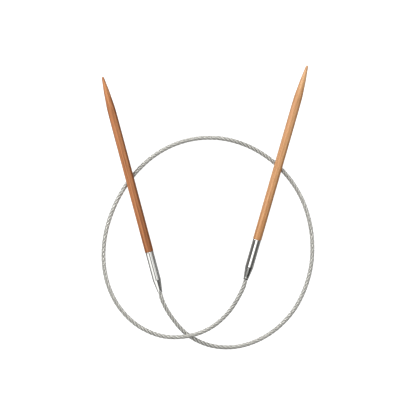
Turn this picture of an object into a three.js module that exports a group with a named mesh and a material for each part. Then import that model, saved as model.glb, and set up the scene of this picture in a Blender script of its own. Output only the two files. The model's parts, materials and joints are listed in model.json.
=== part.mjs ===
// A fixed circular knitting needle: two pointed bamboo needles joined by one long wire-rope cable
// in a clear nylon jacket. Each needle is set in a steel ferrule, and each ferrule turns freely on
// the end of the cable. It lies on a flat surface with its points towards +Y.
// Millimetres, +Z up. The origin is on the surface, midway between the two needles.
import * as THREE from "three";

// Needles, measured from the point
const SHAFT_DIAMETER = 4.25;
const WOOD_LENGTH = 88.8;
const POINT_RADIUS = 0.55;
const POINT_OUTLINE = [
  // [radius, distance from the point]
  [0.96, 3.7],
  [1.4, 7.6],
  [1.7, 11.5],
  [2.0, 15.5],
  [2.09, 20],
];
const FULL_LENGTH = 45;
const BUTT_ROUNDING = 0.35;
const TENON_DIAMETER = 3.1;
const TENON_LENGTH = 8.5;

// Ferrules, measured from the nose
const FERRULE_DIAMETER = 4;
const FERRULE_LENGTH = 20.5;
const NOSE_LENGTH = 6.2;
const NOSE_END_DIAMETER = 2.35;
const NOSE_LIP = 0.9;
const SOCKET_DIAMETER = 3.25;
const SHOULDER = 6.8;
const PASSAGE_DIAMETER = 1.8;

// Crimped caps on the ends of the rope, inside the ferrules
const STOP_DIAMETER = 3;
const STOP_LENGTH = 3.7;
const STOP_WALL = 0.3;
const STOP_CLEARANCE = 0.15;

// Cable
const CABLE_DIAMETER = 2.2;
const JACKET_BORE = 1.8;
const ROPE_DIAMETER = 1.65;
const JACKET_STEPS = 80;
const ROPE_STEPS_INSIDE = 2; // how far the rope goes on past each end of the jacket
const LENGTH_SAMPLES = 4000; // for measuring distances along the cable

// Gaps between pieces that would touch
const CONTACT_GAP = 0.15;
const END_GAP = 0.1;

const TURNED_SIDES = 24;

// Where each ferrule's nose lies, which way its needle leans from +Y (anticlockwise is positive),
// and how far along it from the nose the needle lies over the cable.
const TIPS = {
  left: { nose: [-21.7, -55.1], lean: 14.9, overCable: 57.3 },
  right: { nose: [20.2, -49.0], lean: -16.05, overCable: 58.1 },
};

// The free part of the cable, from the left ferrule to the right one, as the line of its centre.
// It lies on the surface, except near the ferrules and where it passes over itself.
const FLAT = CABLE_DIAMETER / 2;
const OVER = FLAT + CABLE_DIAMETER + CONTACT_GAP;
const ROUTE = [
  [-16.8, -66.3, 1.25],
  [-8.9, -75.4, FLAT],
  [1.7, -80.9, FLAT],
  [13.6, -82.1, FLAT],
  [25.3, -79.1, FLAT],
  [35.5, -72.9, FLAT],
  [43.7, -64.1, FLAT],
  [49.3, -53.4, FLAT],
  [52.4, -41.9, FLAT],
  [52.9, -29.9, FLAT],
  [51.0, -18.1, FLAT],
  [46.7, -7.0, FLAT],
  [39.9, 2.9, FLAT],
  [31.1, 11.0, FLAT],
  [20.8, 16.9, FLAT],
  [9.2, 20.2, FLAT],
  [-2.8, 20.4, FLAT],
  [-14.4, 17.5, FLAT],
  [-24.8, 11.8, FLAT],
  [-33.6, 3.7, FLAT],
  [-40.6, -6.0, FLAT],
  [-45.7, -16.7, FLAT],
  [-48.8, -28.2, FLAT],
  [-49.4, -40.3, FLAT],
  [-47.1, -52.0, FLAT],
  [-41.6, -62.7, FLAT],
  [-32.3, -71.7, 1.45],
  [-20.2, -76.7, 2.6],
  [-7.7, -76.5, OVER],
  [3.1, -72.5, 2.8],
  [12.1, -64.6, 1.7],
];
const STRAIGHT_OUT = 4; // the cable leaves each nose in line with the ferrule
const STRAIGHT_IN = 11; // and the rope goes on in line inside it

// A solid of revolution about local +Y, from [radius, height] points that start and end on the axis
// or come back to their start.
function turned(points) {
  const profile = points.map(([radius, height]) => new THREE.Vector2(radius, height));
  return new THREE.LatheGeometry(profile, TURNED_SIDES);
}

// Points on a quarter of an ellipse from one point to another, leaving the first along the radius.
function quarterRound([fromRadius, fromHeight], [toRadius, toHeight], steps) {
  return Array.from({ length: steps + 1 }, (_, i) => {
    const angle = (i / steps) * (Math.PI / 2);
    return [
      fromRadius + (toRadius - fromRadius) * Math.sin(angle),
      toHeight + (fromHeight - toHeight) * Math.cos(angle),
    ];
  });
}

// The whole tip is FERRULE_LENGTH + WOOD_LENGTH from nose to point, along local +Y.
const TIP_LENGTH = FERRULE_LENGTH + WOOD_LENGTH;

function needleShape() {
  const radius = SHAFT_DIAMETER / 2;
  const butt = FERRULE_LENGTH;
  const fromPoint = (distance) => TIP_LENGTH - distance;
  return turned([
    [0, butt - TENON_LENGTH],
    [TENON_DIAMETER / 2, butt - TENON_LENGTH],
    [TENON_DIAMETER / 2, butt],
    ...quarterRound([radius - BUTT_ROUNDING, butt], [radius, butt + BUTT_ROUNDING], 3),
    [radius, fromPoint(FULL_LENGTH)],
    ...POINT_OUTLINE.toReversed().map(([pointRadius, distance]) => [pointRadius, fromPoint(distance)]),
    ...quarterRound([0, fromPoint(0)], [POINT_RADIUS, fromPoint(POINT_RADIUS)], 4).reverse(),
  ]);
}

function ferruleShape() {
  const outer = FERRULE_DIAMETER / 2;
  const end = FERRULE_LENGTH - END_GAP;
  const passage = PASSAGE_DIAMETER / 2;
  const socket = SOCKET_DIAMETER / 2;
  return turned([
    [passage, 0],
    [NOSE_END_DIAMETER / 2, 0],
    [NOSE_END_DIAMETER / 2, NOSE_LIP],
    [outer, NOSE_LENGTH],
    [outer, end],
    [socket, end],
    [socket, SHOULDER],
    [passage, SHOULDER],
    [passage, 0],
  ]);
}

function stopShape() {
  const outer = STOP_DIAMETER / 2;
  const bore = PASSAGE_DIAMETER / 2;
  const mouth = SHOULDER + STOP_CLEARANCE;
  const closedEnd = mouth + STOP_LENGTH;
  return turned([
    [bore, mouth],
    [outer, mouth],
    ...quarterRound([outer - STOP_WALL, closedEnd], [outer, closedEnd - STOP_WALL], 2).reverse(),
    [0, closedEnd],
    [0, closedEnd - STOP_WALL],
    [bore, closedEnd - STOP_WALL],
    [bore, mouth],
  ]);
}

// A group whose +Y runs along one tip. The nose end's ferrule edge rests on the surface,
// and the needle rises from there to pass over the cable.
function tipFrame({ nose, lean, overCable }) {
  const onSurface = FERRULE_DIAMETER / 2;
  const overTheCable = CABLE_DIAMETER + CONTACT_GAP + SHAFT_DIAMETER / 2;
  const slope = (overTheCable - onSurface) / (overCable - NOSE_LENGTH);
  const frame = new THREE.Group();
  frame.rotation.order = "ZXY";
  frame.rotation.set(Math.atan(slope), 0, THREE.MathUtils.degToRad(lean));
  frame.position.set(nose[0], nose[1], onSurface - NOSE_LENGTH * slope);
  frame.updateMatrixWorld();
  return frame;
}

// A stretch of a longer curve, between two distances along it, that never sinks below the surface.
// Sections swept along it stay upright.
class UprightStretch extends THREE.Curve {
  constructor(curve, from, to) {
    super();
    Object.assign(this, { curve, from, to, whole: curve.getLength() });
  }

  getPoint(t, target = new THREE.Vector3()) {
    const distance = this.from + (this.to - this.from) * t;
    this.curve.getPointAt(distance / this.whole, target);
    return target.setZ(Math.max(target.z, FLAT));
  }

  computeFrenetFrames(segments) {
    const up = new THREE.Vector3(0, 0, 1);
    const frames = { tangents: [], normals: [], binormals: [] };
    for (let i = 0; i <= segments; i++) {
      const tangent = this.getTangentAt(i / segments);
      const normal = new THREE.Vector3().crossVectors(up, tangent).normalize();
      frames.tangents.push(tangent);
      frames.normals.push(normal);
      frames.binormals.push(new THREE.Vector3().crossVectors(tangent, normal));
    }
    return frames;
  }
}

// A regular octagon, as wide across its flats as the diameter, with a flat at the bottom.
function octagon(diameter) {
  const corner = diameter / 2 / Math.cos(Math.PI / 8);
  return Array.from({ length: 8 }, (_, i) => {
    const angle = ((i + 0.5) * Math.PI) / 4;
    return new THREE.Vector2(corner * Math.cos(angle), corner * Math.sin(angle));
  });
}

function swept(shape, path, steps) {
  return new THREE.ExtrudeGeometry(shape, { extrudePath: path, steps });
}

function part(name, geometry, material) {
  const mesh = new THREE.Mesh(geometry, material);
  mesh.name = name;
  return mesh;
}

const bamboo = (color) => new THREE.MeshStandardMaterial({ color, roughness: 0.5, metalness: 0 });
const steel = () => new THREE.MeshStandardMaterial({ color: 0xc9c9c6, roughness: 0.15, metalness: 1 });
const wireRope = () => new THREE.MeshStandardMaterial({ color: 0xa8a69f, roughness: 0.4, metalness: 1 });
const nylon = () =>
  new THREE.MeshStandardMaterial({
    color: 0xd8d8d0,
    roughness: 0.2,
    metalness: 0,
    transparent: true,
    opacity: 0.35,
  });

const root = new THREE.Group();
const frames = { left: tipFrame(TIPS.left), right: tipFrame(TIPS.right) };
const bambooColors = { left: 0xaf7856, right: 0xce9d71 };

for (const [side, frame] of Object.entries(frames)) {
  frame.add(
    part(`needle_${side}`, needleShape(), bamboo(bambooColors[side])),
    part(`ferrule_${side}`, ferruleShape(), steel()),
    part(`cable_stop_${side}`, stopShape(), steel()),
  );
  root.add(frame);
}

// Points on a tip's axis: positive distances are inside the ferrule, negative ones outside it.
const onAxis = (side, distance) => frames[side].localToWorld(new THREE.Vector3(0, distance, 0));
const distances = [STRAIGHT_IN, STRAIGHT_IN / 2, 0, -STRAIGHT_OUT];
const centreLine = new THREE.CatmullRomCurve3([
  ...distances.map((distance) => onAxis("left", distance)),
  ...ROUTE.map((point) => new THREE.Vector3(...point)),
  ...distances.toReversed().map((distance) => onAxis("right", distance)),
]);
centreLine.arcLengthDivisions = LENGTH_SAMPLES;

const jacketStart = STRAIGHT_IN + END_GAP;
const jacketEnd = centreLine.getLength() - jacketStart;
const ropeInside = (ROPE_STEPS_INSIDE * (jacketEnd - jacketStart)) / JACKET_STEPS;

const jacketSection = new THREE.Shape(octagon(CABLE_DIAMETER));
jacketSection.holes.push(new THREE.Path(octagon(JACKET_BORE)));
const jacketPath = new UprightStretch(centreLine, jacketStart, jacketEnd);
root.add(part("cable_jacket", swept(jacketSection, jacketPath, JACKET_STEPS), nylon()));

const ropeSection = new THREE.Shape(octagon(ROPE_DIAMETER));
const ropePath = new UprightStretch(centreLine, jacketStart - ropeInside, jacketEnd + ropeInside);
const ropeSteps = JACKET_STEPS + 2 * ROPE_STEPS_INSIDE;
root.add(part("cable_rope", swept(ropeSection, ropePath, ropeSteps), wireRope()));

export default root;
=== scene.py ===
import json
import math

import bpy
import bmesh
import numpy as np
from mathutils import Matrix, Vector


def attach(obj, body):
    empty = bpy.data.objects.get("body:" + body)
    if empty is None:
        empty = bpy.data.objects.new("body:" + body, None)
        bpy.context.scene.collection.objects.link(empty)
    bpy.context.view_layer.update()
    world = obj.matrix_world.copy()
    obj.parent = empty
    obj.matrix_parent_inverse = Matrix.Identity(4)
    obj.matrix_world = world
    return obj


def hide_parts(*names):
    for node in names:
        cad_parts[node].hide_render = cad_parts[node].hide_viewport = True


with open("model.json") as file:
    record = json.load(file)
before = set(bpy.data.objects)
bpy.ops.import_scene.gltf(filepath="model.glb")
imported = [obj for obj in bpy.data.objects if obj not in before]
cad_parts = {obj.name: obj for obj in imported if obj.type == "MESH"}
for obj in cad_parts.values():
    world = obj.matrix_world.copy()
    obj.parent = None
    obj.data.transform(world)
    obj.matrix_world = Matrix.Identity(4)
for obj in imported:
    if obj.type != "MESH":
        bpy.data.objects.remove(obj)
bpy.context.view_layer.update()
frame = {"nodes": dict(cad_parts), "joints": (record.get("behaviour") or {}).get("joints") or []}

# A circular knitting needle lying on a pale floor: two bamboo needles in steel ferrules,
# joined by a wire rope in a clear nylon jacket. Metres, +Z up, in the frame of the CAD model.

MM = 0.001
SIDES = ("left", "right")

# Cable: a clear jacket over a rope of four strands laid round a core, each of seven wires
CABLE_DIAMETER = 2.2 * MM
FLAT = CABLE_DIAMETER / 2  # height of the centre where the cable lies on the floor
CROSSING_GAP = 0.15 * MM
OVER = FLAT + CABLE_DIAMETER + CROSSING_GAP  # and where it crosses over itself
STRAIGHT_OUT = 4.0 * MM  # how far it runs on straight from a nose
STRAIGHT_IN = 11.0 * MM  # and how far its line goes on inside
LINE_STEPS = 60  # points on the line between two points of the route

JACKET_GAP = 0.1 * MM  # from the nose
JACKET_STEP = 0.6 * MM
JACKET_SIDES = 32
JACKET_EDGE = 0.12 * MM
JACKET_EDGE_SHARES = (0.9, 0.965)  # of its radius, at its end and a third of the edge in

ROPE_INSIDE = 9.6 * MM  # how far the rope goes on inside a nose
ROPE_RADIUS = 1.0 * MM
ROPE_LAY = 9.04 * MM  # length of one turn of a strand
ROPE_STEP = 0.28 * MM
NECK_LENGTH = 3.0 * MM  # where the rope draws in towards a nose
NECK_SHARE = 0.84  # of its radius, at the nose

# Shares of the rope's radius, for strands that touch each other and the core
STRANDS = 4
STRAND_SHARE = math.sin(math.pi / STRANDS) / (1 + math.sin(math.pi / STRANDS))
CORE_SHARE = 1 - 2 * STRAND_SHARE

WIRES = 6  # round the middle one
WIRE_SHARE = 1 / 3  # of the strand's radius
WIRE_LAY = 5.2 * MM  # length of one turn of a wire round its strand
POINTS_PER_WIRE = 3

# Attributes of the strands
OUTWARD = "outward"  # 1 on a strand's crest, 0 at its sides, below 0 towards the core
SHADE_BETWEEN_STRANDS = "painted_shade_share"  # 1 where painted shade darkens the rope between its strands, 0 where there is none

# How strong the painted shade between the strands is along the cable: millimetres from the left
# nose, and the share
PAINTED_SHADE_ALONG = [
    (0, 0.3),
    (36, 1.0),
    (54, 0.0),
    (154, 0.0),
    (182, 0.8),
    (200, 0.0),
    (310, 0.0),
    (333, 0.8),
    (354, 0.0),
    (392, 0.6),
]

# The line of the cable's centre, from the left ferrule round to the right one
ROUTE = [
    (-0.0168, -0.0663, 0.00125),
    (-0.0089, -0.0754, FLAT),
    (0.0017, -0.0809, FLAT),
    (0.0136, -0.0821, FLAT),
    (0.0253, -0.0791, FLAT),
    (0.0355, -0.0729, FLAT),
    (0.0437, -0.0641, FLAT),
    (0.0493, -0.0534, FLAT),
    (0.0524, -0.0419, FLAT),
    (0.0529, -0.0299, FLAT),
    (0.0510, -0.0181, FLAT),
    (0.0467, -0.0070, FLAT),
    (0.0399, 0.0029, FLAT),
    (0.0311, 0.0110, FLAT),
    (0.0208, 0.0169, FLAT),
    (0.0092, 0.0202, FLAT),
    (-0.0028, 0.0204, FLAT),
    (-0.0144, 0.0175, FLAT),
    (-0.0248, 0.0118, FLAT),
    (-0.0336, 0.0037, FLAT),
    (-0.0406, -0.0060, FLAT),
    (-0.0457, -0.0167, FLAT),
    (-0.0488, -0.0282, FLAT),
    (-0.0494, -0.0403, FLAT),
    (-0.0471, -0.0520, FLAT),
    (-0.0416, -0.0627, FLAT),
    (-0.0323, -0.0717, 0.00145),
    (-0.0202, -0.0767, 0.00260),
    (-0.0077, -0.0765, OVER),
    (0.0031, -0.0725, 0.00280),
    (0.0121, -0.0646, 0.00170),
]

# Tips, in millimetres. Lengths are from the nose of the ferrule.
FERRULE_LENGTH = 20.45
FERRULE_RADIUS = 2.0
CONE_LENGTH = 6.2
PASSAGE_RADIUS = 0.9
SOCKET_RADIUS = 1.625
SOCKET_BOTTOM = 6.8
LIP = 0.13  # radius of the rounding round the nose
RIM = 0.14  # radius of the rolled edge at the wood

TIP_LENGTH = 109.3
WOOD_START = 20.5
SHAFT_RADIUS = 2.125
BUTT_ROUNDING = 0.35
TENON_RADIUS = 1.55
TENON_LENGTH = 8.5
TENON_BEVEL = 0.2

# Outline of a needle's taper and point: distance from the point, and the radius
TAPER = [
    (60, SHAFT_RADIUS),
    (45, SHAFT_RADIUS),
    (28, 2.115),
    (20, 2.09),
    (17.5, 2.055),
    (15.5, 2.0),
    (11.5, 1.7),
    (7.6, 1.4),
    (3.7, 0.96),
    (0.9, 0.62),
]
POINT = [(0.9, 0.62), (0.5, 0.56), (0.16, 0.4), (0.03, 0.2), (0, 0)]
TAPER_STEPS = 12
POINT_STEPS = 5
TURNED_SIDES = 96

# Colours
BAMBOO_DARK = ((0.32, 0.107, 0.035), (0.495, 0.19, 0.07), (0.65, 0.27, 0.108))
BAMBOO_LIGHT = ((0.5, 0.229, 0.088), (0.6, 0.304, 0.13), (0.69, 0.375, 0.186))
PAINTED_SHADING_RIGHT_OVER_LEFT = {"left": 0.78, "right": 1.15}  # painted shade and light: brightness on a needle's right over that on its left, darker on the left needle, lighter on the right one
PAINTED_SHADING_HALF_WIDTH = 2.0  # in millimetres, for that painted change of light and shade
FERRULE_STEEL = (0.74, 0.74, 0.71, 1)
WIRE_STEEL = ((0.53, 0.52, 0.48), (0.73, 0.72, 0.67))
# Painted shade on the wires' sides between the strands, at its weakest and at its strongest
GAP_LEAST_SHADE = (0.54, 0.53, 0.49)
GAP_MOST_SHADE = (0.15, 0.14, 0.12)
NYLON = (0.7, 0.7, 0.66, 1)
WHITE = (1, 1, 1, 1)

# Camera: straight above, with +Y up in the picture
VIEW_CENTRE = (0.0018, -0.0138)
VIEW_WIDTH = 0.2043
VIEW_HEIGHT = 1.8
SENSOR_MM = 36

FLOOR_LEVEL = -0.02 * MM
FLOOR_HALF = 3.0
FLOOR_GREY = (0.3, 0.3, 0.3, 1)  # what lights the object from below; the camera sees white

# Brightness of the parts of the studio
ROOM = 0.16
ROOM_FRONT = 0.05
FRONT_LIGHT = 0.45
SOFTBOX_LEFT = 2.9
SOFTBOX_RIGHT = 0.76
SOFTBOX_BACK = 1.7
LOW_LIGHT = 1.4

# Where they are. Each limit is a direction, and the cosines of the angle to it between which
# the part fades in. A part with several limits is where all of them hold.

# How the room and the softbox change from one side to the other
TO_LEFT = ((-1, 0, 0), -0.4, 0.3)
TO_BACK = ((0, 1, 0), 0.45, 0.75)
TO_FRONT = ((0, -1, 0), 0.28, 0.38)

# The softbox overhead, which is brighter to the left
OVERHEAD = [
    ((1, 0, 0), -0.47, -0.39),
    ((-1, 0, 0), -0.9, -0.76),
    ((0.266, 1, 0), -0.125, -0.111),
    ((-0.4, 1, 0), -0.38, -0.33),
    ((0, 0, 1), 0.2, 0.3),
]

# The low light, on the left but for a gap, and in front
LEFT = [((-1, 0, 0), 0.41, 0.46), ((0.25, -1, 0), 0.058, 0.08)]
LEFT_GAP = [((1, 0, 0), -0.62, -0.56), ((0.21, -1, 0), 0.137, 0.157), ((0, 1, 0), -0.43, -0.4)]
FRONT = [((-1, 0, 0), -0.03, 0.02), ((0, -1, 0), 0.35, 0.38)]
LOW = [((0, 1, 0), -0.75, -0.65), ((0, 0, 1), 0.0, 0.12)]

# The weak light low in front
LOW_FRONT = [((0, -1, 0), 0.6, 0.68), ((0, 0, 1), 0.0, 0.12)]


def smooth_curve(points, steps):
    """Points on a centripetal Catmull-Rom curve, with so many steps between given points."""
    points = np.array(points, float)
    ends = 2 * points[0] - points[1], 2 * points[-1] - points[-2]
    padded = np.vstack([ends[0], points, ends[1]])
    made = []
    for p0, p1, p2, p3 in zip(padded, padded[1:], padded[2:], padded[3:]):
        d0, d1, d2 = (np.sqrt(np.linalg.norm(b - a)) for a, b in ((p0, p1), (p1, p2), (p2, p3)))
        t1 = ((p1 - p0) / d0 - (p2 - p0) / (d0 + d1) + (p2 - p1) / d1) * d1
        t2 = ((p2 - p1) / d1 - (p3 - p1) / (d1 + d2) + (p3 - p2) / d2) * d1
        t = np.linspace(0, 1, steps, endpoint=False)[:, None]
        made.append(
            p1
            + t1 * t
            + (3 * (p2 - p1) - 2 * t1 - t2) * t**2
            + (2 * (p1 - p2) + t1 + t2) * t**3
        )
    return np.vstack([*made, points[-1:]])


def distances_along(points):
    return np.concatenate([[0], np.cumsum(np.linalg.norm(np.diff(points, axis=0), axis=1))])


def tip_matrix(joint):
    """The frame of one tip: its origin at the ferrule's nose and +Y towards the needle's point."""
    along = Vector(joint["axis"]).normalized()
    side = along.cross(Vector((0, 0, 1))).normalized()
    up = side.cross(along)
    made = Matrix((side, along, up)).transposed().to_4x4()
    made.translation = Vector(joint["pos_m"])
    return made


class CableLine:
    """The cable's centre line, with a level frame at each point along it."""

    def __init__(self, tips):
        inside = [STRAIGHT_IN, STRAIGHT_IN / 2, 0, -STRAIGHT_OUT]
        left = [tips["left"] @ Vector((0, d, 0)) for d in inside]
        right = [tips["right"] @ Vector((0, d, 0)) for d in reversed(inside)]
        self.points = smooth_curve([*left, *ROUTE, *right], LINE_STEPS)
        self.points[:, 2] = np.maximum(self.points[:, 2], FLAT)
        self.distance = distances_along(self.points)
        self.start = STRAIGHT_IN
        self.end = self.distance[-1] - STRAIGHT_IN

    def at(self, distance):
        """Centre, side, up and forward vectors at each distance, as arrays of points."""
        centre = np.stack([np.interp(distance, self.distance, c) for c in self.points.T], axis=1)
        forward = np.gradient(centre, distance, axis=0)
        forward /= np.linalg.norm(forward, axis=1)[:, None]
        side = np.cross((0, 0, 1), forward)
        side /= np.linalg.norm(side, axis=1)[:, None]
        return centre, side, np.cross(forward, side), forward


def mesh_object(name, vertices, faces, sharp_degrees=35):
    """A smooth-shaded object whose creases over the given angle stay sharp."""
    mesh = bpy.data.meshes.new(name)
    mesh.from_pydata([tuple(v) for v in vertices], [], faces)
    work = bmesh.new()
    work.from_mesh(mesh)
    bmesh.ops.remove_doubles(work, verts=work.verts, dist=1e-7)
    bmesh.ops.recalc_face_normals(work, faces=work.faces)
    crease = math.radians(sharp_degrees)
    for edge in work.edges:
        edge.smooth = len(edge.link_faces) != 2 or edge.calc_face_angle(0) < crease
    for face in work.faces:
        face.smooth = True
    work.to_mesh(mesh)
    work.free()
    made = bpy.data.objects.new(name, mesh)
    bpy.context.scene.collection.objects.link(made)
    return made


def ring_faces(rings, sides, closed=False, caps=True):
    """Quads between successive rings of vertices, and a face over each open end."""
    faces = []
    for r in range(rings if closed else rings - 1):
        a, b = r * sides, (r + 1) % rings * sides
        for i in range(sides):
            j = (i + 1) % sides
            faces.append((a + i, a + j, b + j, b + i))
    if caps and not closed:
        faces.append(tuple(reversed(range(sides))))
        faces.append(tuple(range((rings - 1) * sides, rings * sides)))
    return faces


def turned(name, profile, closed=False):
    """A solid of revolution about local +Y, from (radius, height) points in millimetres."""
    profile = np.array(profile, float) * MM
    angle = np.linspace(0, 2 * np.pi, TURNED_SIDES, endpoint=False)
    rings = [
        np.stack([r * np.sin(angle), np.full_like(angle, y), r * np.cos(angle)], axis=1)
        for r, y in profile
    ]
    faces = ring_faces(len(rings), TURNED_SIDES, closed, caps=False)
    return mesh_object(name, np.vstack(rings), faces)


def arc(centre, radius, start, end, steps):
    """Points on an arc about a centre, with angles in degrees from the radial direction."""
    angles = np.radians(np.linspace(start, end, steps + 1))
    return [(centre[0] + radius * math.cos(a), centre[1] + radius * math.sin(a)) for a in angles]


# ---------------------------------------------------------------- camera

def make_camera():
    data = bpy.data.cameras.new("camera")
    data.sensor_width = SENSOR_MM
    data.lens = SENSOR_MM * VIEW_HEIGHT / VIEW_WIDTH
    data.clip_end = 10
    camera = bpy.data.objects.new("camera", data)
    camera.location = (*VIEW_CENTRE, VIEW_HEIGHT)
    bpy.context.scene.collection.objects.link(camera)
    bpy.context.scene.camera = camera


# ---------------------------------------------------------------- cable

def make_jacket(line):
    """The jacket, a round closed tube with slightly rounded ends, and its centre line."""
    start, end = line.start + JACKET_GAP, line.end - JACKET_GAP
    inner = np.arange(start + JACKET_EDGE, end - JACKET_EDGE, JACKET_STEP)
    third = JACKET_EDGE / 3
    distance = np.concatenate([[start, start + third], inner, [end - third, end]])
    radius = np.full(len(distance), CABLE_DIAMETER / 2)
    radius[[0, -1]] *= JACKET_EDGE_SHARES[0]
    radius[[1, -2]] *= JACKET_EDGE_SHARES[1]
    centre, side, up, _ = line.at(distance)
    angle = np.linspace(0, 2 * np.pi, JACKET_SIDES, endpoint=False)
    rings = [
        c + r * (np.cos(angle)[:, None] * s + np.sin(angle)[:, None] * u)
        for c, s, u, r in zip(centre, side, up, radius)
    ]
    faces = ring_faces(len(rings), JACKET_SIDES)
    return mesh_object("cable_sheath", np.vstack(rings), faces, sharp_degrees=60), centre


def strand_outline():
    """Angles and relative radii of a strand of wires laid round a middle one."""
    angle = np.linspace(0, 2 * np.pi, WIRES * POINTS_PER_WIRE, endpoint=False)
    from_crest = (angle + np.pi / WIRES) % (2 * np.pi / WIRES) - np.pi / WIRES
    middle = 1 - WIRE_SHARE
    hump = np.sqrt(np.maximum(WIRE_SHARE**2 - (middle * np.sin(from_crest)) ** 2, 0))
    return angle, middle * np.cos(from_crest) + hump


def rope_radius(distance, line):
    """The rope's radius: full where it lies free, less towards and inside the ferrules."""
    from_nose = np.minimum(distance - line.start, line.end - distance)
    share = np.clip(from_nose / NECK_LENGTH, 0, 1)
    return ROPE_RADIUS * (NECK_SHARE + (1 - NECK_SHARE) * share * share * (3 - 2 * share))


def make_strand(name, line, turn):
    """One strand of the rope, laid round the line, or straight along it if turn is None."""
    distance = np.arange(line.start - ROPE_INSIDE, line.end + ROPE_INSIDE, ROPE_STEP)
    centre, side, up, forward = line.at(distance)
    angle, crest = strand_outline()
    rope = rope_radius(distance, line)
    if turn is None:
        radius = CORE_SHARE * rope
        radial, tangent, middle = side, up, centre
    else:
        radius = STRAND_SHARE * rope
        circle = (rope - radius)[:, None]
        phase = turn + 2 * np.pi * distance / ROPE_LAY
        cos, sin = np.cos(phase)[:, None], np.sin(phase)[:, None]
        radial = cos * side + sin * up
        heading = forward + 2 * np.pi / ROPE_LAY * circle * (cos * up - sin * side)
        heading /= np.linalg.norm(heading, axis=1)[:, None]
        tangent = np.cross(heading, radial)
        middle = centre + circle * radial
    wire_phase = -2 * np.pi * distance / WIRE_LAY
    rings = []
    for c, r, t, p, size in zip(middle, radial, tangent, wire_phase, radius):
        cos, sin = np.cos(angle + p)[:, None], np.sin(angle + p)[:, None]
        rings.append(c + size * crest[:, None] * (cos * r + sin * t))
    faces = ring_faces(len(rings), len(angle))
    made = mesh_object(name, np.vstack(rings), faces, sharp_degrees=75)
    outward = made.data.attributes.new(OUTWARD, "FLOAT", "POINT")
    outward.data.foreach_set("value", np.cos(angle + wire_phase[:, None]).ravel())
    # Painted shade between the strands, by its share along the cable
    painted_shade_share = made.data.attributes.new(SHADE_BETWEEN_STRANDS, "FLOAT", "POINT")
    share = np.interp((distance - line.start) / MM, *np.transpose(PAINTED_SHADE_ALONG))
    painted_shade_share.data.foreach_set("value", np.repeat(share, len(angle)))
    return made


def make_cable(tips, materials):
    line = CableLine(tips)
    jacket, path = make_jacket(line)
    jacket.data.materials.append(materials["nylon"])
    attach(jacket, "cable")
    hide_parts("cable_jacket")

    strands = [
        make_strand(f"rope_strand_{i + 1}", line, 2 * np.pi * i / STRANDS) for i in range(STRANDS)
    ]
    strands.append(make_strand("rope_core_strand", line, None))
    for piece in strands:
        piece.data.materials.append(materials["wire"])
        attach(piece, "cable")
    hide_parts("cable_rope")


# ---------------------------------------------------------------- tips

def needle_profile():
    """Half outline of a needle: tenon, rounded butt, shaft and long blunt point."""
    tenon_end = WOOD_START - TENON_LENGTH
    tenon = [
        (0, tenon_end),
        (TENON_RADIUS - TENON_BEVEL, tenon_end),
        (TENON_RADIUS, tenon_end + TENON_BEVEL),
        (TENON_RADIUS, WOOD_START),
    ]
    rounded = WOOD_START + BUTT_ROUNDING
    butt = arc((SHAFT_RADIUS - BUTT_ROUNDING, rounded), BUTT_ROUNDING, -90, 0, steps=6)
    taper = [(radius, TIP_LENGTH - distance) for distance, radius in TAPER]
    body = smooth_curve([(SHAFT_RADIUS, rounded + 0.1), *taper], TAPER_STEPS)
    point = [(radius, TIP_LENGTH - distance) for distance, radius in POINT]
    return [*tenon, *butt, *body, *smooth_curve(point, POINT_STEPS)[1:]]


def ferrule_profile():
    """Closed outline of a ferrule's wall, from the nose round to the passage inside it."""
    passage, outer, socket = PASSAGE_RADIUS, FERRULE_RADIUS, SOCKET_RADIUS
    lip = [
        *arc((passage + LIP, LIP), LIP, 180, 270, steps=4),
        *arc((passage + 1.2 * LIP, LIP), LIP, -90, 0, steps=5),
        (passage + 2.2 * LIP, 0.75),
    ]
    cone = [
        (passage + 2.3 * LIP, 0.86),
        (passage + 2.9 * LIP, 1.05),
        (passage + 3.16 * LIP, 1.3),
        (outer - 0.09, CONE_LENGTH - 0.55),
        (outer - 0.05, CONE_LENGTH - 0.3),
        (outer - 0.015, CONE_LENGTH - 0.1),
        (outer, CONE_LENGTH + 0.1),
        (outer, CONE_LENGTH + 0.3),
    ]
    rim = [
        (outer, FERRULE_LENGTH - RIM - 0.2),
        *arc((outer - RIM, FERRULE_LENGTH - RIM), RIM, 0, 90, steps=5),
    ]
    inside = [
        (socket + 0.05, FERRULE_LENGTH),
        (socket, FERRULE_LENGTH - 0.1),
        (socket, SOCKET_BOTTOM),
        (passage, SOCKET_BOTTOM),
    ]
    return [*lip, *cone, *rim, *inside]


def make_tip(side, matrix, materials):
    needle = turned(f"bamboo_needle_{side}", needle_profile())
    needle.data.materials.append(materials[f"bamboo_{side}"])
    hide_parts(f"needle_{side}")
    ferrule = turned(f"steel_ferrule_{side}", ferrule_profile(), closed=True)
    ferrule.data.materials.append(materials["steel"])
    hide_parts(f"ferrule_{side}")
    for piece in (needle, ferrule):
        piece.matrix_world = matrix
        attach(piece, f"{side}_tip")


# ---------------------------------------------------------------- materials

class Tree:
    """Short calls for building a node tree."""

    def add(self, kind, values=(), **settings):
        """A new node, with values or links for its inputs, by name or number."""
        node = self.tree.nodes.new(kind)
        for key, value in settings.items():
            setattr(node, key, value)
        for socket, value in dict(values).items():
            if isinstance(value, bpy.types.NodeSocket):
                self.tree.links.new(value, node.inputs[socket])
            else:
                node.inputs[socket].default_value = value
        return node

    def math(self, operation, a, b):
        return self.add("ShaderNodeMath", {0: a, 1: b}, operation=operation).outputs["Value"]


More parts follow.
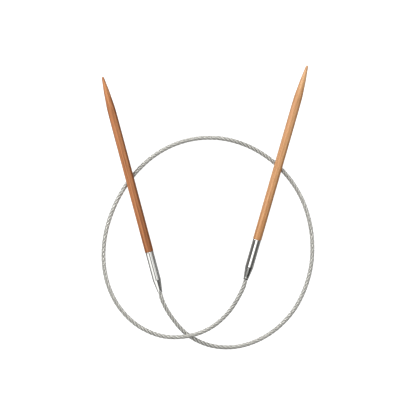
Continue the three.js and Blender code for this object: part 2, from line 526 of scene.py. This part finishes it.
class Material(Tree):
    """A material around one Principled BSDF."""

    def __init__(self, name):
        self.material = bpy.data.materials.new(name)
        self.material.use_nodes = True
        self.tree = self.material.node_tree
        self.surface = self.tree.nodes["Principled BSDF"]

    def link(self, output, socket):
        self.tree.links.new(output, self.surface.inputs[socket])

    def set(self, **values):
        for socket, value in values.items():
            self.surface.inputs[socket.replace("_", " ")].default_value = value

    def attribute(self, name):
        return self.add("ShaderNodeAttribute", attribute_name=name).outputs["Fac"]

    def local(self, scale):
        """The object's own coordinates, stretched by a scale for each axis."""
        place = self.add("ShaderNodeTexCoord").outputs["Object"]
        return self.add("ShaderNodeMapping", {"Vector": place, "Scale": scale}).outputs["Vector"]

    def noise(self, scale, detail, roughness=0.5):
        """Noise with so many features to a metre along each axis."""
        values = {
            "Vector": self.local(scale),
            "Scale": 1.0,
            "Detail": detail,
            "Roughness": roughness,
        }
        return self.add("ShaderNodeTexNoise", values).outputs["Fac"]

    def ramp(self, factor, *stops):
        """A colour from the factor, by (position, color) stops."""
        node = self.add("ShaderNodeValToRGB", {"Fac": factor})
        elements = node.color_ramp.elements
        while len(elements) < len(stops):
            elements.new(0.5)
        for element, (position, color) in zip(elements, stops):
            element.position = position
            element.color = (*color, 1)
        return node.outputs["Color"]

    def mix(self, factor, a, b, blend="MIX"):
        """A mix of two colours, by the sockets for colours, which share their names."""
        values = {0: factor, 6: a, 7: b}
        node = self.add("ShaderNodeMix", values, data_type="RGBA", blend_type=blend)
        return node.outputs[2]

    def bump(self, height, strength, distance):
        values = {"Height": height, "Strength": strength, "Distance": distance}
        self.link(self.add("ShaderNodeBump", values).outputs["Normal"], "Normal")


def grey(value):
    return (value, value, value)


def bamboo(name, tones, painted_shading_ratio):
    """Oiled bamboo with its fibres along local Y, and painted light and shade that change its
    brightness from left to right.
    """
    dark, middle, light = tones
    m = Material(name)
    broad = m.noise((420, 10, 420), detail=3)
    streaks = m.noise((900, 16, 900), detail=4, roughness=0.6)
    fine = m.noise((7800, 160, 7800), detail=3, roughness=0.65)
    base = m.ramp(streaks, (0.4, dark), (0.5, middle), (0.6, light))
    tone = m.ramp(broad, (0.35, grey(0.36)), (0.65, grey(0.62)))
    toned = m.mix(0.6, base, tone, "OVERLAY")
    # Painted light and shade: the colour is scaled across the needle, from its left side to its
    # right
    in_mm = m.local((1 / MM, 1 / MM, 1 / MM))
    across = m.add("ShaderNodeSeparateXYZ", {"Vector": in_mm}).outputs["X"]
    values = {
        "Value": across,
        "From Min": -PAINTED_SHADING_HALF_WIDTH,
        "From Max": PAINTED_SHADING_HALF_WIDTH,
        "To Min": 1.0,
        "To Max": painted_shading_ratio,
    }
    side = m.add("ShaderNodeMapRange", values).outputs["Result"]
    toned = m.mix(1.0, toned, side, "MULTIPLY")
    pores = m.ramp(fine, (0.32, grey(0.5)), (0.46, grey(1.0)))
    m.link(m.mix(0.62, toned, pores, "MULTIPLY"), "Base Color")
    m.link(m.ramp(fine, (0.3, grey(0.6)), (0.7, grey(0.42))), "Roughness")
    m.set(Specular_IOR_Level=0.3, Coat_Weight=0.1, Coat_Roughness=0.35)
    m.bump(fine, strength=0.25, distance=0.03 * MM)
    return m.material


def polished_steel():
    """Bright turned steel with faint smears and turning lines."""
    m = Material("polished_steel")
    m.set(Metallic=1.0, Base_Color=FERRULE_STEEL)
    smears = m.noise((500, 200, 500), detail=3)
    m.link(m.ramp(smears, (0.3, grey(0.03)), (0.7, grey(0.07))), "Roughness")
    lines = m.noise((60, 9000, 60), detail=2)
    m.bump(lines, strength=0.01, distance=0.01 * MM)
    return m.material


def rope_wire():
    """Drawn wire, with painted shade on the wires' sides between the strands, stronger along some
    stretches of the cable.
    """
    m = Material("rope_wire")
    m.set(Metallic=0.9)
    tarnish = m.noise((900, 900, 900), detail=3)
    dull, bright = WIRE_STEEL
    steel = m.ramp(tarnish, (0.3, dull), (0.7, bright))
    # Painted shade: the wires' sides between the strands go from light to dark by its share
    painted_shade_colour = m.ramp(m.attribute(SHADE_BETWEEN_STRANDS), (0, GAP_LEAST_SHADE), (1, GAP_MOST_SHADE))
    crest = m.ramp(m.attribute(OUTWARD), (0.4, grey(0)), (0.9, grey(1)))
    m.link(m.mix(crest, painted_shade_colour, steel), "Base Color")
    m.link(m.ramp(tarnish, (0.3, grey(0.4)), (0.7, grey(0.28))), "Roughness")
    return m.material


def clear_nylon():
    m = Material("clear_nylon")
    m.set(Base_Color=NYLON, Alpha=0.2, Roughness=0.15, Specular_IOR_Level=1.0)
    return m.material


def crimped_steel():
    """Dull steel with dents, for the stops inside the ferrules."""
    m = Material("crimped_steel")
    m.set(Metallic=1.0)
    dents = m.noise((1500, 1500, 1500), detail=3)
    m.link(m.ramp(dents, (0.3, grey(0.4)), (0.7, grey(0.62))), "Base Color")
    m.link(m.ramp(dents, (0.3, grey(0.5)), (0.7, grey(0.3))), "Roughness")
    m.bump(dents, strength=0.4, distance=0.05 * MM)
    return m.material


def make_materials():
    return {
        "bamboo_left": bamboo("bamboo_dark", BAMBOO_DARK, PAINTED_SHADING_RIGHT_OVER_LEFT["left"]),
        "bamboo_right": bamboo("bamboo_light", BAMBOO_LIGHT, PAINTED_SHADING_RIGHT_OVER_LEFT["right"]),
        "steel": polished_steel(),
        "wire": rope_wire(),
        "nylon": clear_nylon(),
        "stop": crimped_steel(),
    }


# ---------------------------------------------------------------- floor and light

def make_floor():
    half = FLOOR_HALF
    corners = [(-half, -half), (half, -half), (half, half), (-half, half)]
    floor = mesh_object("floor", [(x, y, FLOOR_LEVEL) for x, y in corners], [(0, 1, 2, 3)])
    m = Material("white_floor")
    m.set(Base_Color=FLOOR_GREY, Roughness=1.0, Specular_IOR_Level=0.0, Emission_Color=WHITE)
    m.link(m.add("ShaderNodeLightPath").outputs["Is Camera Ray"], "Emission Strength")
    floor.data.materials.append(m.material)


def area_light(name, direction, distance, size, power):
    """A square softbox at a distance in a direction, facing the object."""
    data = bpy.data.lights.new(name, "AREA")
    data.size = size
    data.energy = power
    light = bpy.data.objects.new(name, data)
    towards = Vector(direction).normalized()
    light.location = towards * distance
    light.rotation_euler = towards.to_track_quat("Z", "Y").to_euler()
    bpy.context.scene.collection.objects.link(light)


class Studio(Tree):
    """The studio around the object, as brightness by direction."""

    def __init__(self, name):
        self.world = bpy.data.worlds.new(name)
        self.world.use_nodes = True
        self.tree = self.world.node_tree
        self.direction = self.add("ShaderNodeTexCoord").outputs["Generated"]

    def towards(self, direction, low, high):
        """0 to 1 as the cosine of the angle to a direction goes from low to high."""
        values = {0: self.direction, 1: tuple(Vector(direction).normalized())}
        cosine = self.add("ShaderNodeVectorMath", values, operation="DOT_PRODUCT").outputs["Value"]
        values = {"Value": cosine, "From Min": low, "From Max": high}
        made = self.add("ShaderNodeMapRange", values, interpolation_type="SMOOTHSTEP")
        return made.outputs["Result"]

    def part(self, limits):
        """1 where all the limits hold."""
        made, *others = [self.towards(*limit) for limit in limits]
        for other in others:
            made = self.math("MULTIPLY", made, other)
        return made

    def mix(self, factor, a, b):
        values = {"Factor": factor, "A": a, "B": b}
        return self.add("ShaderNodeMix", values).outputs["Result"]


def make_light():
    """A dim room, darker in front, with softboxes placed as the ferrules reflect them."""
    studio = Studio("studio")
    softbox = studio.mix(studio.towards(*TO_LEFT), SOFTBOX_RIGHT, SOFTBOX_LEFT)
    softbox = studio.mix(studio.towards(*TO_BACK), softbox, SOFTBOX_BACK)
    room = studio.mix(studio.towards(*TO_FRONT), ROOM, ROOM_FRONT)
    room = studio.mix(studio.part(LOW_FRONT), room, FRONT_LIGHT)
    room = studio.mix(studio.part(OVERHEAD), room, softbox)
    left = studio.mix(studio.part(LEFT_GAP), studio.part(LEFT), 0.0)
    low = studio.math("MAXIMUM", left, studio.part(FRONT))
    low = studio.math("MULTIPLY", low, studio.part(LOW))
    room = studio.mix(low, room, LOW_LIGHT)
    seen = studio.add("ShaderNodeLightPath").outputs["Is Camera Ray"]
    background = studio.tree.nodes["Background"]
    studio.tree.links.new(studio.mix(seen, room, 1.0), background.inputs["Strength"])
    background.inputs["Color"].default_value = WHITE
    bpy.context.scene.world = studio.world
    area_light("key", direction=(-0.75, 0.4, 0.5), distance=1.2, size=0.5, power=6.5)


def main():
    make_camera()
    bpy.context.scene.view_settings.view_transform = "Standard"
    tips = {j["child"].removesuffix("_tip"): tip_matrix(j) for j in frame["joints"]}
    materials = make_materials()
    make_cable(tips, materials)
    for side in SIDES:
        make_tip(side, tips[side], materials)
        stop = frame["nodes"][f"cable_stop_{side}"]
        stop.data.materials.clear()
        stop.data.materials.append(materials["stop"])
    make_floor()
    make_light()


main()
